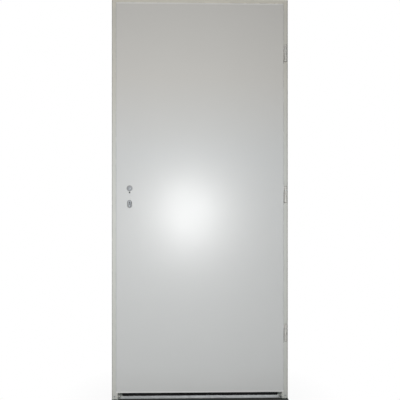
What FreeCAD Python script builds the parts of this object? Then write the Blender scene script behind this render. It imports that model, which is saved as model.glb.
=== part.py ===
import FreeCAD, Part
import Sketcher
import os
import re

# Steel utility door in its corner frame, millimetres.
# X runs to the right seen from the front, Y runs into the wall and Z runs up.
# The origin is on the floor, midway between the jambs, in the plane of the wall.

SIZES = {
    # folded frame
    "frame_sheet": 1.5,
    "frame_half": 451.5,
    "frame_height": 2052,
    "face_width": 31,
    "rebate_depth": 37.5,
    "stop_width": 15,
    "reveal_depth": 34,
    "groove_width": 6,
    "groove_depth": 5,
    "groove_inset": 4.5,
    "rear_return": 15,
    "bend_r": 1.2,
    # rubber seal in the stop
    "seal_half": 4,
    "seal_gap": 0.5,
    "seal_wall": 1.2,
    "seal_start": 10,
    # floor rail and feet
    "rail_height": 3,
    "rail_back": 46,
    "rail_side_gap": 0.5,
    "rail_gap": 6.5,
    "foot_sheet": 4,
    "foot_start": 4,
    "foot_depth": 20,
    "foot_height": 30,
    "foot_play": 0.3,
    "foot_screw_r": 3.5,
    "foot_screw_up": 15,
    # wall anchors
    "anchor_sheet": 3,
    "anchor_height": 40,
    "anchor_leg": 55,
    "anchor_hole_r": 5.5,
    "anchor_hole_in": 16,
    "anchor_corner": 6,
    "anchor_low": 300,
    "anchor_drop": 292,
    # keeper box and its two openings
    "keeper_sheet": 1,
    "keeper_depth": 15,
    "keeper_width": 22,
    "keeper_margin": 14,
    "keeper_opening": 18,
    "latch_opening": 36,
    "bolt_opening": 50,
    # leaf
    "leaf_gap": 5,
    "lip_overlap": 14.5,
    "lip_thick": 3,
    "lip_stand": 5,
    "hem_width": 18,
    "skin": 1,
    "lip_r": 1.4,
    "leaf_thick": 40,
    "leaf_low": 35,
    "channel_sheet": 1.5,
    "channel_flange": 20,
    "core_play": 1,
    # seal under the leaf
    "sweep_half": 400,
    "sweep_centre": 11,
    "sweep_foot": 14,
    "sweep_foot_height": 4,
    "sweep_blade": 6,
    "sweep_drop": 21,
    # mortise lock
    "backset": 55,
    "handle_height": 1080,
    "lock_spacing": 72,
    "plate_width": 20,
    "plate_height": 235,
    "plate_thick": 3,
    "case_thick": 16,
    "case_depth": 87,
    "case_above": 48,
    "case_below": 46,
    "case_play": 1,
    "follower_r": 9,
    "follower_play": 0.1,
    "follower_square": 9,
    "follower_length": 22,
    "screw_drop": 21.5,
    "screw_r": 4,
    "handle_hole_r": 15,
    "key_head_r": 8.5,
    "key_tail_r": 5,
    "key_tail_drop": 19,
    "key_play": 0.4,
    "window_r": 12.5,
    "window_drop": 16,
    "key_proud": 0.5,
    "keyhole_r": 3,
    "keyhole_width": 3,
    "keyhole_drop": 12,
    "keyhole_depth": 12,
    "latch_up": 26,
    "latch_height": 28,
    "latch_width": 13,
    "latch_length": 60,
    "dead_up": 14,
    "dead_height": 40,
    "dead_width": 10,
    "dead_length": 45,
    "bolt_play": 0.2,
    # hinges
    "hinge_out": 9,
    "hinge_forward": 2,
    "hinge_r": 7,
    "hinge_low": 340,
    "hinge_drop": 278.5,
    "hinge_middle_down": 7.5,
    "knuckle_frame": 61,
    "knuckle_leaf": 20,
    "washer_thick": 1.5,
    "washer_r": 7.3,
    "hinge_play": 0.1,
    "pin_r": 4,
    "pin_play": 0.08,
    "pin_reach": 16,
    "pin_end_gap": 1,
    "pin_cap": 3,
    "dome": 2,
    "wing_frame": 3,
    "wing_width": 15,
    "wing_inset": 1,
    "wing_leaf": 2.5,
    "wing_tall": 60,
    "wing_back": 24,
}

FITS = {
    "rebate_half": "frame_half - face_width",
    "stop_half": "rebate_half - stop_width",
    "stop_front": "rebate_depth - frame_sheet",
    "frame_back": "stop_front + reveal_depth",
    "groove_near": "stop_half + groove_inset",
    "groove_far": "groove_near + groove_width",
    "groove_floor": "stop_front + groove_depth",
    "groove_mid": "groove_near + groove_width / 2",
    "head_shift": "frame_height - frame_half",
    "body_half": "rebate_half - leaf_gap",
    "body_top": "body_half + head_shift",
    "lip_half": "body_half + lip_overlap",
    "lip_top": "body_top + lip_overlap",
    "lip_back": "0 - frame_sheet - lip_stand",
    "leaf_front": "lip_back - lip_thick",
    "leaf_back": "leaf_front + leaf_thick",
    "seal_front": "leaf_back + seal_gap",
    "hem_half": "lip_half - hem_width",
    "rail_half": "rebate_half - rail_gap",
    "lock_x": "0 - body_half + backset",
    "key_height": "handle_height - lock_spacing",
    "lock_mid_y": "(lip_back + leaf_back) / 2",
    "lock_mid_z": "handle_height - (lock_spacing + case_below - case_above) / 2",
    "case_height": "case_above + lock_spacing + case_below",
    "case_front": "lock_mid_y - case_thick / 2",
    "plate_back": "0 - body_half + plate_thick",
    "latch_z": "handle_height + latch_up",
    "dead_z": "key_height + dead_up",
    "anchor_pitch": "(frame_height - anchor_drop - anchor_low) / 2",
    "hinge_high": "frame_height - hinge_drop",
    "hinge_middle": "(hinge_high + hinge_low) / 2 - hinge_middle_down",
    "axis_x": "lip_half + hinge_out",
    "axis_y": "leaf_front - hinge_forward",
}


def expand(text):
    """Turn a phrase of size names into one that the drawing reads from its table."""
    def swap(match):
        word = match.group(0)
        if word in FITS:
            return "(" + expand(FITS[word]) + ")"
        return "Sizes." + word if word in SIZES else word
    return re.sub(r"[a-z][a-z_]*", swap, text)


doc = FreeCAD.newDocument("utility_door")
table = doc.addObject("Spreadsheet::Sheet", "Sizes")
for row, (word, value) in enumerate(SIZES.items(), start=1):
    table.set("A%d" % row, word)
    table.set("B%d" % row, str(value))
    table.setAlias("B%d" % row, word)
doc.recompute()

NODES = []


def bind(item, **sizes):
    """Tie properties of one feature to phrases of size names."""
    for name, phrase in sizes.items():
        item.setExpression(name, expand(phrase))
    return item


def body(label):
    """Start one sub-part."""
    item = doc.addObject("PartDesign::Body", label)
    item.Label = label
    NODES.append(item)
    return item


def sketch_on(item, plane):
    """Start a sketch on one of the sub-part's own planes."""
    sketch = item.newObject("Sketcher::SketchObject", item.Label + "_sketch")
    face = [each for each in item.Origin.OriginFeatures if each.Role == plane][0]
    sketch.AttachmentSupport = (face, [""])
    sketch.MapMode = "FlatFace"
    return sketch


def add_outline(sketch, points):
    """Draw a closed outline whose corners are held by size phrases."""
    first = sketch.GeometryCount
    count = len(points)
    spots = [FreeCAD.Vector(k + 1, k * k + 1, 0) for k in range(count)]
    for k in range(count):
        sketch.addGeometry(Part.LineSegment(spots[k], spots[(k + 1) % count]))
    joins = [
        Sketcher.Constraint("Coincident", first + k, 2, first + (k + 1) % count, 1)
        for k in range(count)
    ]
    sketch.addConstraint(joins)
    for k, (across, up) in enumerate(points):
        hold_point(sketch, first + k, 1, across, up, spots[k])


def hold_point(sketch, line, end, across, up, spot):
    """Hold one point of a sketch at two size phrases."""
    for kind, value, phrase in (("DistanceX", spot.x, across), ("DistanceY", spot.y, up)):
        number = sketch.addConstraint(Sketcher.Constraint(kind, -1, 1, line, end, value))
        sketch.setExpression("Constraints[%d]" % number, expand(phrase))


def add_ring(sketch, across, up, radius):
    """Draw a circle held by size phrases."""
    spot = FreeCAD.Vector(1, 1, 0)
    line = sketch.addGeometry(Part.Circle(spot, FreeCAD.Vector(0, 0, 1), 1))
    hold_point(sketch, line, 3, across, up, spot)
    number = sketch.addConstraint(Sketcher.Constraint("Radius", line, 1))
    sketch.setExpression("Constraints[%d]" % number, expand(radius))


def box_points(across, up, wide, tall):
    """Corners of a rectangle from its low corner and its two sizes."""
    right = "%s + (%s)" % (across, wide)
    top = "%s + (%s)" % (up, tall)
    return [(across, up), (right, up), (right, top), (across, top)]


def pad(item, sketch, length, offset="0", plane="XY_Plane"):
    """Raise a sketch along +Z, +X or +Y, starting at an offset."""
    turn = "-1 * " if plane == "XZ_Plane" else ""
    sketch.setExpression("AttachmentOffset.Base.z", turn + "(" + expand(offset) + ")")
    doc.recompute()
    feature = item.newObject("PartDesign::Pad", item.Label + "_pad")
    feature.Profile = sketch
    feature.Reversed = plane == "XZ_Plane"
    bind(feature, Length=length)
    doc.recompute()
    return feature


def pocket(item, sketch):
    """Cut a sketch right through the sub-part, both ways."""
    doc.recompute()
    feature = item.newObject("PartDesign::Pocket", item.Label + "_pocket")
    feature.Profile = sketch
    feature.Type = "ThroughAll"
    feature.SideType = "Symmetric"
    doc.recompute()
    return feature


def blind_pocket(item, sketch, length, offset, plane="XY_Plane"):
    """Cut a sketch to a depth along +Z, +X or +Y, starting at an offset."""
    turn = "-1 * " if plane == "XZ_Plane" else ""
    sketch.setExpression("AttachmentOffset.Base.z", turn + "(" + expand(offset) + ")")
    doc.recompute()
    feature = item.newObject("PartDesign::Pocket", item.Label + "_pocket")
    feature.Profile = sketch
    feature.Reversed = plane != "XZ_Plane"
    bind(feature, Length=length)
    doc.recompute()
    return feature


def prism(label, plane, points, length, offset="0"):
    """One sub-part raised from one outline."""
    item = body(label)
    sketch = sketch_on(item, plane)
    add_outline(sketch, points)
    pad(item, sketch, length, offset, plane)
    return item


def cut_outline(item, plane, points):
    """Cut an outline right through a sub-part."""
    sketch = sketch_on(item, plane)
    add_outline(sketch, points)
    return pocket(item, sketch)


def cut_ring(item, plane, across, up, radius):
    """Cut a round hole right through a sub-part."""
    sketch = sketch_on(item, plane)
    add_ring(sketch, across, up, radius)
    return pocket(item, sketch)


def cut_block(item, plane, points, length, offset):
    """Cut an outline out of part of a sub-part's length."""
    sketch = sketch_on(item, plane)
    add_outline(sketch, points)
    return blind_pocket(item, sketch, length, offset, plane)


def signed(side, points):
    """Mirror an outline to the left side where side is -1."""
    return [("%d * (%s)" % (side, across), up) for across, up in points]


# Folded face and rebate: distance from the door's middle, distance into the wall
FACE_SECTION = [
    ("frame_half", "0 - frame_sheet"),
    ("rebate_half", "0 - frame_sheet"),
    ("rebate_half", "rebate_depth"),
    ("rebate_half + frame_sheet", "rebate_depth"),
    ("rebate_half + frame_sheet", "0"),
    ("frame_half", "0"),
]

# Folded stop with its seal groove, reveal and rear return
STOP_SECTION = [
    ("rebate_half", "stop_front"),
    ("groove_far", "stop_front"),
    ("groove_far", "groove_floor"),
    ("groove_near", "groove_floor"),
    ("groove_near", "stop_front"),
    ("stop_half", "stop_front"),
    ("stop_half", "frame_back"),
    ("stop_half + rear_return", "frame_back"),
    ("stop_half + rear_return", "frame_back - frame_sheet"),
    ("stop_half + frame_sheet", "frame_back - frame_sheet"),
    ("stop_half + frame_sheet", "rebate_depth"),
    ("groove_near - frame_sheet", "rebate_depth"),
    ("groove_near - frame_sheet", "groove_floor + frame_sheet"),
    ("groove_far + frame_sheet", "groove_floor + frame_sheet"),
    ("groove_far + frame_sheet", "rebate_depth"),
    ("rebate_half", "rebate_depth"),
]

# Seal section: stem in the groove and hollow lip towards the leaf
SEAL_SECTION = [
    ("groove_near", "groove_floor"),
    ("groove_far", "groove_floor"),
    ("groove_far", "stop_front"),
    ("groove_mid + seal_half", "stop_front"),
    ("groove_mid + seal_half", "seal_front + seal_wall"),
    ("groove_mid + seal_half - seal_wall", "seal_front"),
    ("groove_mid - seal_half + seal_wall", "seal_front"),
    ("groove_mid - seal_half", "seal_front + seal_wall"),
    ("groove_mid - seal_half", "stop_front"),
    ("groove_near", "stop_front"),
]
SEAL_HOLLOW = [
    ("groove_mid - seal_half + seal_wall", "seal_front + seal_wall"),
    ("groove_mid + seal_half - seal_wall", "seal_front + seal_wall"),
    ("groove_mid + seal_half - seal_wall", "stop_front - seal_wall"),
    ("groove_mid - seal_half + seal_wall", "stop_front - seal_wall"),
]


def round_bends(item, radius, order, count=1):
    """Round the first of a sub-part's long edges, in the order of their middles."""
    edges = [(order(edge.CenterOfMass), number)
             for number, edge in enumerate(item.Shape.Edges, start=1) if edge.Length > 500]
    last = item.Tip
    feature = item.newObject("PartDesign::Fillet", item.Label + "_bend")
    feature.Base = (last, ["Edge%d" % number for _, number in sorted(edges)[:count]])
    bind(feature, Radius=radius)
    doc.recompute()


def mitre(item, sides, keep_below):
    """Cut the corner of a frame member along the mitre of the head and a jamb."""
    for side in sides:
        near, far = ("stop_half - stop_width", "frame_half + stop_width")
        points = [(near, near + " + head_shift"), (far, far + " + head_shift")]
        points.append((near, far + " + head_shift") if keep_below else (far, near + " + head_shift"))
        cut_outline(item, "XZ_Plane", signed(side, points))


def upright(label, side, sections, start="0"):
    """A frame member that stands at one side."""
    item = body(label)
    sketch = sketch_on(item, "XY_Plane")
    for section in sections:
        add_outline(sketch, signed(side, section))
    pad(item, sketch, "frame_height - " + start, start)
    mitre(item, [side], True)
    return item


def crosspiece(label, sections):
    """A frame member that lies across the top."""
    item = body(label)
    sketch = sketch_on(item, "YZ_Plane")
    for section in sections:
        add_outline(sketch, [(up, across + " + head_shift") for across, up in section])
    pad(item, sketch, "2 * frame_half", "0 - frame_half", "YZ_Plane")
    mitre(item, [-1, 1], False)
    return item


def build_frame():
    """Jambs, head, seals, keeper box, floor rail, feet and wall anchors."""
    for name, side in (("lock_jamb", -1), ("hinge_jamb", 1)):
        jamb = upright(name, side, [FACE_SECTION])
        round_bends(jamb, "bend_r", lambda spot: (round(abs(spot.x), 2), round(spot.y, 2)))
        notch = box_points("rebate_half - frame_sheet", "foot_start - foot_play",
                           "3 * frame_sheet", "foot_depth + 2 * foot_play")
        cut_block(jamb, "XY_Plane", signed(side, notch), "foot_sheet", "0")
        middle = "%d * (frame_half - face_width / 2 + frame_sheet)" % side
        sketch = sketch_on(jamb, "XZ_Plane")
        add_ring(sketch, middle, "foot_screw_up", "foot_screw_r")
        blind_pocket(jamb, sketch, "2 * frame_sheet", "0 - 2 * frame_sheet", "XZ_Plane")
        if side < 0:
            for height, tall in (("latch_z", "latch_opening"), ("dead_z", "bolt_opening")):
                slot = box_points("lock_mid_y - keeper_opening / 2", height + " - " + tall + " / 2",
                                  "keeper_opening", tall)
                cut_block(jamb, "YZ_Plane", slot, "3 * frame_sheet", "0 - rebate_half - 2 * frame_sheet")
        stop = upright(name.replace("jamb", "stop"), side, [STOP_SECTION])
        for turn in (1, -1):
            round_bends(stop, "bend_r", lambda spot: (round(abs(spot.x), 2), turn * round(spot.y, 2)))
    head = crosspiece("frame_head", [FACE_SECTION])
    round_bends(head, "bend_r", lambda spot: (round(spot.z, 2), round(spot.y, 2)))
    stop = crosspiece("head_stop", [STOP_SECTION])
    for turn in (1, -1):
        round_bends(stop, "bend_r", lambda spot: (round(spot.z, 2), turn * round(spot.y, 2)))
    upright("lock_jamb_seal", -1, [SEAL_SECTION, SEAL_HOLLOW], "seal_start")
    upright("hinge_jamb_seal", 1, [SEAL_SECTION, SEAL_HOLLOW], "seal_start")
    crosspiece("head_seal", [SEAL_SECTION, SEAL_HOLLOW])

    box = prism("keeper_box", "YZ_Plane",
                box_points("lock_mid_y - keeper_width / 2", "dead_z - bolt_opening / 2 - keeper_margin",
                           "keeper_width",
                           "latch_z - dead_z + (latch_opening + bolt_opening) / 2 + 2 * keeper_margin"),
                "keeper_depth", "0 - rebate_half - frame_sheet - keeper_depth")
    cut_block(box, "YZ_Plane",
              box_points("lock_mid_y - keeper_width / 2 + keeper_sheet",
                         "dead_z - bolt_opening / 2 - keeper_margin + keeper_sheet",
                         "keeper_width - 2 * keeper_sheet",
                         "latch_z - dead_z + (latch_opening + bolt_opening) / 2"
                         " + 2 * keeper_margin - 2 * keeper_sheet"),
              "keeper_depth", "0 - rebate_half - frame_sheet - keeper_depth + keeper_sheet")

    shoulder = "stop_front - rail_side_gap"
    inner = "stop_half - rail_side_gap"
    right = [("rail_half", "0 - frame_sheet"), ("rail_half", shoulder), (inner, shoulder), (inner, "rail_back")]
    prism("floor_rail", "XY_Plane", right + signed(-1, right)[::-1], "rail_height")
    for name, side in (("lock_jamb_foot", -1), ("hinge_jamb_foot", 1)):
        foot = prism(name, "XY_Plane", signed(side, [
            ("rail_half", "foot_start"),
            ("rail_half", "foot_start + foot_depth"),
            ("frame_half - frame_sheet", "foot_start + foot_depth"),
            ("frame_half - frame_sheet", "0"),
            ("rebate_half + 2 * frame_sheet", "0"),
            ("rebate_half + 2 * frame_sheet", "foot_start"),
        ]), "foot_sheet")
        sketch = sketch_on(foot, "XY_Plane")
        add_outline(sketch, signed(side, box_points(
            "rebate_half + 2 * frame_sheet", "0",
            "face_width - 3 * frame_sheet", "foot_sheet")))
        pad(foot, sketch, "foot_height")
        cut_ring(foot, "XZ_Plane", "%d * (frame_half - face_width / 2 + frame_sheet)" % side,
                 "foot_screw_up", "foot_screw_r")

    for side_name, side in (("lock", -1), ("hinge", 1)):
        for level, place in (("lower", 0), ("middle", 1), ("upper", 2)):
            low = "anchor_low + %d * anchor_pitch - anchor_height / 2" % place
            lug = prism("%s_anchor_%s" % (side_name, level), "XY_Plane", signed(side, [
                ("stop_half", "frame_back"),
                ("stop_half + rear_return", "frame_back"),
                ("stop_half + rear_return", "frame_back + anchor_leg"),
                ("stop_half + rear_return - anchor_sheet", "frame_back + anchor_leg"),
                ("stop_half + rear_return - anchor_sheet", "frame_back + anchor_sheet"),
                ("stop_half", "frame_back + anchor_sheet"),
            ]), "anchor_height", low)
            cut_ring(lug, "YZ_Plane", "frame_back + anchor_leg - anchor_hole_in",
                     low + " + anchor_height / 2", "anchor_hole_r")


def key_sketches(item, grow):
    """Round head, round tail and straight neck of the keyhole insert, one sketch each."""
    head = sketch_on(item, "XZ_Plane")
    add_ring(head, "lock_x", "key_height", "key_head_r + " + grow)
    tail = sketch_on(item, "XZ_Plane")
    add_ring(tail, "lock_x", "key_height - key_tail_drop", "key_tail_r + " + grow)
    neck = sketch_on(item, "XZ_Plane")
    add_outline(neck, box_points("lock_x - key_tail_r - " + grow, "key_height - key_tail_drop",
                                 "2 * (key_tail_r + %s)" % grow, "key_tail_drop"))
    return head, neck, tail


def cut_lock_holes(item):
    """Handle hole, handle screw hole and the oblong window of the keyhole insert in one skin."""
    cut_ring(item, "XZ_Plane", "lock_x", "handle_height", "handle_hole_r")
    cut_ring(item, "XZ_Plane", "lock_x", "handle_height - screw_drop", "screw_r")
    cut_ring(item, "XZ_Plane", "lock_x", "key_height", "window_r")
    cut_ring(item, "XZ_Plane", "lock_x", "key_height - window_drop", "window_r")
    cut_outline(item, "XZ_Plane", box_points("lock_x - window_r", "key_height - window_drop",
                                             "2 * window_r", "window_drop"))


def edge_channel(label, side):
    """Folded channel behind one long edge of the leaf."""
    item = prism(label, "XY_Plane", signed(side, [
        ("body_half", "lip_back"),
        ("body_half", "leaf_back - skin"),
        ("body_half - channel_flange", "leaf_back - skin"),
        ("body_half - channel_flange", "leaf_back - skin - channel_sheet"),
        ("body_half - channel_sheet", "leaf_back - skin - channel_sheet"),
        ("body_half - channel_sheet", "lip_back + channel_sheet"),
        ("body_half - channel_flange", "lip_back + channel_sheet"),
        ("body_half - channel_flange", "lip_back"),
    ]), "body_top - leaf_low - 2 * channel_sheet", "leaf_low + channel_sheet")
    return item


def cross_channel(label, edge, turn):
    """Folded channel behind the top or the bottom edge of the leaf."""
    inner = "%s - %d * channel_flange" % (edge, turn)
    wall = "%s - %d * channel_sheet" % (edge, turn)
    item = prism(label, "YZ_Plane", [
        ("lip_back", edge),
        ("leaf_back - skin", edge),
        ("leaf_back - skin", inner),
        ("leaf_back - skin - channel_sheet", inner),
        ("leaf_back - skin - channel_sheet", wall),
        ("lip_back + channel_sheet", wall),
        ("lip_back + channel_sheet", inner),
        ("lip_back", inner),
    ], "2 * body_half", "0 - body_half")
    for side in (-1, 1):
        cut_outline(item, "XZ_Plane", signed(side, [
            ("body_half - channel_flange", wall),
            ("body_half + channel_sheet", wall),
            ("body_half + channel_sheet", inner + " - %d * channel_sheet" % turn),
            ("body_half - channel_flange", inner + " - %d * channel_sheet" % turn),
        ]))
    return item


def build_leaf():
    """Skins, core, edge channels, bottom seal and mortise lock."""
    front = prism("front_sheet", "XZ_Plane",
                  box_points("0 - lip_half", "leaf_low", "2 * lip_half", "lip_top - leaf_low"),
                  "lip_thick", "leaf_front")
    round_bends(front, "lip_r", lambda spot: round(spot.y, 2), 8)
    cut_block(front, "XZ_Plane",
              box_points("0 - hem_half", "leaf_low + hem_width",
                         "2 * hem_half", "lip_top - leaf_low - 2 * hem_width"),
              "lip_thick - skin", "leaf_front + skin")
    cut_block(front, "XZ_Plane",
              box_points("0 - lip_half + skin", "leaf_low + skin",
                         "2 * lip_half - 2 * skin", "lip_top - leaf_low - 2 * skin"),
              "lip_thick - 2 * skin", "leaf_front + skin")
    cut_lock_holes(front)
    back = prism("back_sheet", "XZ_Plane",
                 box_points("0 - body_half", "leaf_low", "2 * body_half", "body_top - leaf_low"),
                 "skin", "leaf_back - skin")
    cut_lock_holes(back)

    edge = "body_half - channel_flange - core_play"
    core = prism("leaf_core", "XZ_Plane",
                 box_points("0 - (%s)" % edge, "leaf_low + channel_flange + core_play",
                            "2 * (%s)" % edge,
                            "body_top - leaf_low - 2 * (channel_flange + core_play)"),
                 "leaf_thick - 2 * skin", "leaf_front + skin")
    cut_outline(core, "XZ_Plane",
                box_points("0 - body_half", "lock_mid_z - case_height / 2 - case_play",
                           "plate_thick + case_depth + case_play", "case_height + 2 * case_play"))

    lock_edge = edge_channel("lock_edge", -1)
    cut_block(lock_edge, "YZ_Plane",
              box_points("lock_mid_y - plate_width / 2", "lock_mid_z - plate_height / 2",
                         "plate_width", "plate_height"),
              "2 * channel_sheet", "0 - body_half - channel_sheet / 2")
    hinge_edge = edge_channel("hinge_edge", 1)
    for place in range(3):
        cut_block(hinge_edge, "YZ_Plane",
                  box_points("lip_back", wing_low(place), "wing_back", "wing_tall"),
                  "wing_leaf + channel_sheet", "body_half - wing_leaf")
    cross_channel("top_edge", "body_top", 1)
    cross_channel("bottom_channel", "leaf_low", -1)

    prism("bottom_seal", "YZ_Plane", [
        ("sweep_centre - sweep_foot / 2", "leaf_low"),
        ("sweep_centre - sweep_foot / 2", "leaf_low - sweep_foot_height"),
        ("sweep_centre - sweep_blade / 2", "leaf_low - sweep_foot_height"),
        ("sweep_centre - sweep_blade / 2", "leaf_low - sweep_drop"),
        ("sweep_centre + sweep_blade / 2", "leaf_low - sweep_drop"),
        ("sweep_centre + sweep_blade / 2", "leaf_low - sweep_foot_height"),
        ("sweep_centre + sweep_foot / 2", "leaf_low - sweep_foot_height"),
        ("sweep_centre + sweep_foot / 2", "leaf_low"),
    ], "2 * sweep_half", "0 - sweep_half")
    build_lock()


def bolt_points(height, width, tall, grow="0"):
    """Cross-section of a bolt seen along the leaf's edge."""
    return box_points("lock_mid_y - %s / 2 - %s" % (width, grow), "%s - %s / 2 - %s" % (height, tall, grow),
                      "%s + 2 * %s" % (width, grow), "%s + 2 * %s" % (tall, grow))


def build_lock():
    """Faceplate, case, latch, dead bolt, follower and keyhole insert."""
    plate = prism("lock_faceplate", "YZ_Plane",
                  box_points("lock_mid_y - plate_width / 2", "lock_mid_z - plate_height / 2",
                             "plate_width", "plate_height"),
                  "plate_thick", "0 - body_half")
    case = prism("lock_case", "XZ_Plane",
                 box_points("plate_back", "lock_mid_z - case_height / 2", "case_depth", "case_height"),
                 "case_thick", "case_front")
    for item in (plate, case):
        cut_block(item, "YZ_Plane", bolt_points("latch_z", "latch_width", "latch_height", "bolt_play"),
                  "plate_thick + latch_length + bolt_play", "0 - body_half - plate_thick")
        cut_block(item, "YZ_Plane", bolt_points("dead_z", "dead_width", "dead_height", "bolt_play"),
                  "plate_thick + dead_length + bolt_play", "0 - body_half - plate_thick")
    cut_ring(case, "XZ_Plane", "lock_x", "handle_height", "follower_r + follower_play")
    cut_ring(case, "XZ_Plane", "lock_x", "handle_height - screw_drop", "screw_r")
    for sketch in key_sketches(case, "key_play"):
        pocket(case, sketch)

    prism("latch_bolt", "YZ_Plane", bolt_points("latch_z", "latch_width", "latch_height"),
          "latch_length", "0 - body_half")
    prism("dead_bolt", "YZ_Plane", bolt_points("dead_z", "dead_width", "dead_height"),
          "dead_length", "0 - body_half")

    follower = body("spindle_follower")
    sketch = sketch_on(follower, "XZ_Plane")
    add_ring(sketch, "lock_x", "handle_height", "follower_r")
    pad(follower, sketch, "follower_length", "lock_mid_y - follower_length / 2", "XZ_Plane")
    cut_outline(follower, "XZ_Plane",
                box_points("lock_x - follower_square / 2", "handle_height - follower_square / 2",
                           "follower_square", "follower_square"))

    insert = body("key_insert")
    for sketch in key_sketches(insert, "0"):
        pad(insert, sketch, "leaf_thick - 2 * key_proud", "leaf_front + key_proud", "XZ_Plane")
    for start in ("leaf_front", "leaf_back - keyhole_depth"):
        cut_block(insert, "XZ_Plane",
                  box_points("lock_x - keyhole_width / 2", "key_height - keyhole_drop",
                             "keyhole_width", "keyhole_drop"),
                  "keyhole_depth", start)
        sketch = sketch_on(insert, "XZ_Plane")
        add_ring(sketch, "lock_x", "key_height", "keyhole_r")
        blind_pocket(insert, sketch, "keyhole_depth", start, "XZ_Plane")


HINGE_PLACES = ("hinge_low", "hinge_middle", "hinge_high")


def hinge_base(place):
    """Lowest point of one hinge's frame knuckle."""
    return HINGE_PLACES[place] + " - (knuckle_frame + washer_thick + knuckle_leaf) / 2"


def joint_height(place):
    """Top face of one hinge's frame knuckle."""
    return hinge_base(place) + " + knuckle_frame"


def leaf_base(place):
    """Lowest point of one hinge's leaf knuckle."""
    return joint_height(place) + " + washer_thick + hinge_play"


def wing_low(place):
    """Lowest point of one hinge's plate in the leaf's edge."""
    return leaf_base(place) + " + knuckle_leaf - wing_tall"


def barrel(item, radius, length, low):
    """Round barrel around the hinge axis."""
    sketch = sketch_on(item, "XY_Plane")
    add_ring(sketch, "axis_x", "axis_y", radius)
    pad(item, sketch, length, low)


def bore(item, radius, length, low):
    """Round bore along the hinge axis."""
    sketch = sketch_on(item, "XY_Plane")
    add_ring(sketch, "axis_x", "axis_y", radius)
    blind_pocket(item, sketch, length, low)


def round_rim(item, radius, end):
    """Round the upper rim (end 1) or the lower rim (end -1) of a plain barrel."""
    rims = [(end * edge.CenterOfMass.z, number)
            for number, edge in enumerate(item.Shape.Edges, start=1) if edge.Closed]
    last = item.Tip
    feature = item.newObject("PartDesign::Fillet", item.Label + "_round")
    feature.Base = (last, ["Edge%d" % max(rims)[1]])
    bind(feature, Radius=radius)
    doc.recompute()


def build_hinge(level, place):
    """Frame knuckle, leaf knuckle, washer and pin of one lift-off hinge."""
    base = hinge_base(place)
    frame_part = body(level + "_hinge_frame")
    barrel(frame_part, "hinge_r", "knuckle_frame", base)
    sketch = sketch_on(frame_part, "XY_Plane")
    add_outline(sketch, [
        ("axis_x - hinge_r + wing_inset", "0 - frame_sheet"),
        ("axis_x - hinge_r + wing_inset", "0 - frame_sheet - wing_frame"),
        ("axis_x - hinge_r / 2", "axis_y"),
        ("axis_x + hinge_r / 2", "axis_y"),
        ("axis_x + hinge_r", "0 - frame_sheet - wing_frame"),
        ("axis_x - hinge_r + wing_inset + wing_width", "0 - frame_sheet - wing_frame"),
        ("axis_x - hinge_r + wing_inset + wing_width", "0 - frame_sheet"),
    ])
    pad(frame_part, sketch, "knuckle_frame", base)
    bore(frame_part, "pin_r + pin_play", "knuckle_frame + 2 * dome", base + " - dome")

    leaf_part = body(level + "_hinge_leaf")
    barrel(leaf_part, "hinge_r", "knuckle_leaf + dome", leaf_base(place))
    round_rim(leaf_part, "dome", 1)
    sketch = sketch_on(leaf_part, "XY_Plane")
    add_outline(sketch, [
        ("body_half - wing_leaf", "lip_back"),
        ("axis_x - hinge_r / 2", "lip_back"),
        ("axis_x - hinge_r / 2", "axis_y"),
        ("axis_x + hinge_r / 2", "axis_y"),
        ("axis_x + hinge_r / 2", "lip_back + wing_leaf"),
        ("body_half", "lip_back + wing_leaf"),
        ("body_half", "lip_back + wing_back"),
        ("body_half - wing_leaf", "lip_back + wing_back"),
    ])
    pad(leaf_part, sketch, "knuckle_leaf", leaf_base(place))
    sketch = sketch_on(leaf_part, "XY_Plane")
    add_outline(sketch, box_points("body_half - wing_leaf", "lip_back", "wing_leaf", "wing_back"))
    pad(leaf_part, sketch, "wing_tall", wing_low(place))
    bore(leaf_part, "pin_r + pin_play", "pin_reach + pin_end_gap", leaf_base(place))

    washer = body(level + "_hinge_washer")
    barrel(washer, "washer_r", "washer_thick", joint_height(place))
    bore(washer, "pin_r + pin_play", "washer_thick + 2 * dome", joint_height(place) + " - dome")

    pin = body(level + "_hinge_pin")
    barrel(pin, "hinge_r", "pin_cap", base + " - pin_cap")
    round_rim(pin, "dome", -1)
    sketch = sketch_on(pin, "XY_Plane")
    add_ring(sketch, "axis_x", "axis_y", "pin_r")
    pad(pin, sketch, "knuckle_frame + washer_thick + hinge_play + pin_reach", base)


build_frame()
build_leaf()
for number, level in enumerate(("lower", "middle", "upper")):
    build_hinge(level, number)
doc.recompute()

for item in doc.Objects:
    if "Invalid" in item.State or "Error" in item.State:
        raise RuntimeError(item.Label + " did not build: " + ", ".join(item.State))
for item in NODES:
    if item.Shape.isNull() or not item.Shape.isValid():
        raise RuntimeError(item.Label + " has no sound shape")

os.makedirs("parts", exist_ok=True)
for item in NODES:
    item.Shape.exportStep("parts/" + item.Label + ".step")
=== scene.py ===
"""Dresses the steel utility door: finishes, small fastenings, studio light and camera.

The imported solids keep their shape. This script gives each of them its real finish and a
broken edge, adds the screw heads, weld runs, plugs and seal ends that are too small for the
solids, and sets up a plain studio with the camera where the photographer stood.
"""
import logging
import math
from dataclasses import dataclass, field
from enum import Enum
from typing import Iterable, Sequence

import bmesh
import bpy
from mathutils import Matrix, Vector


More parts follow.
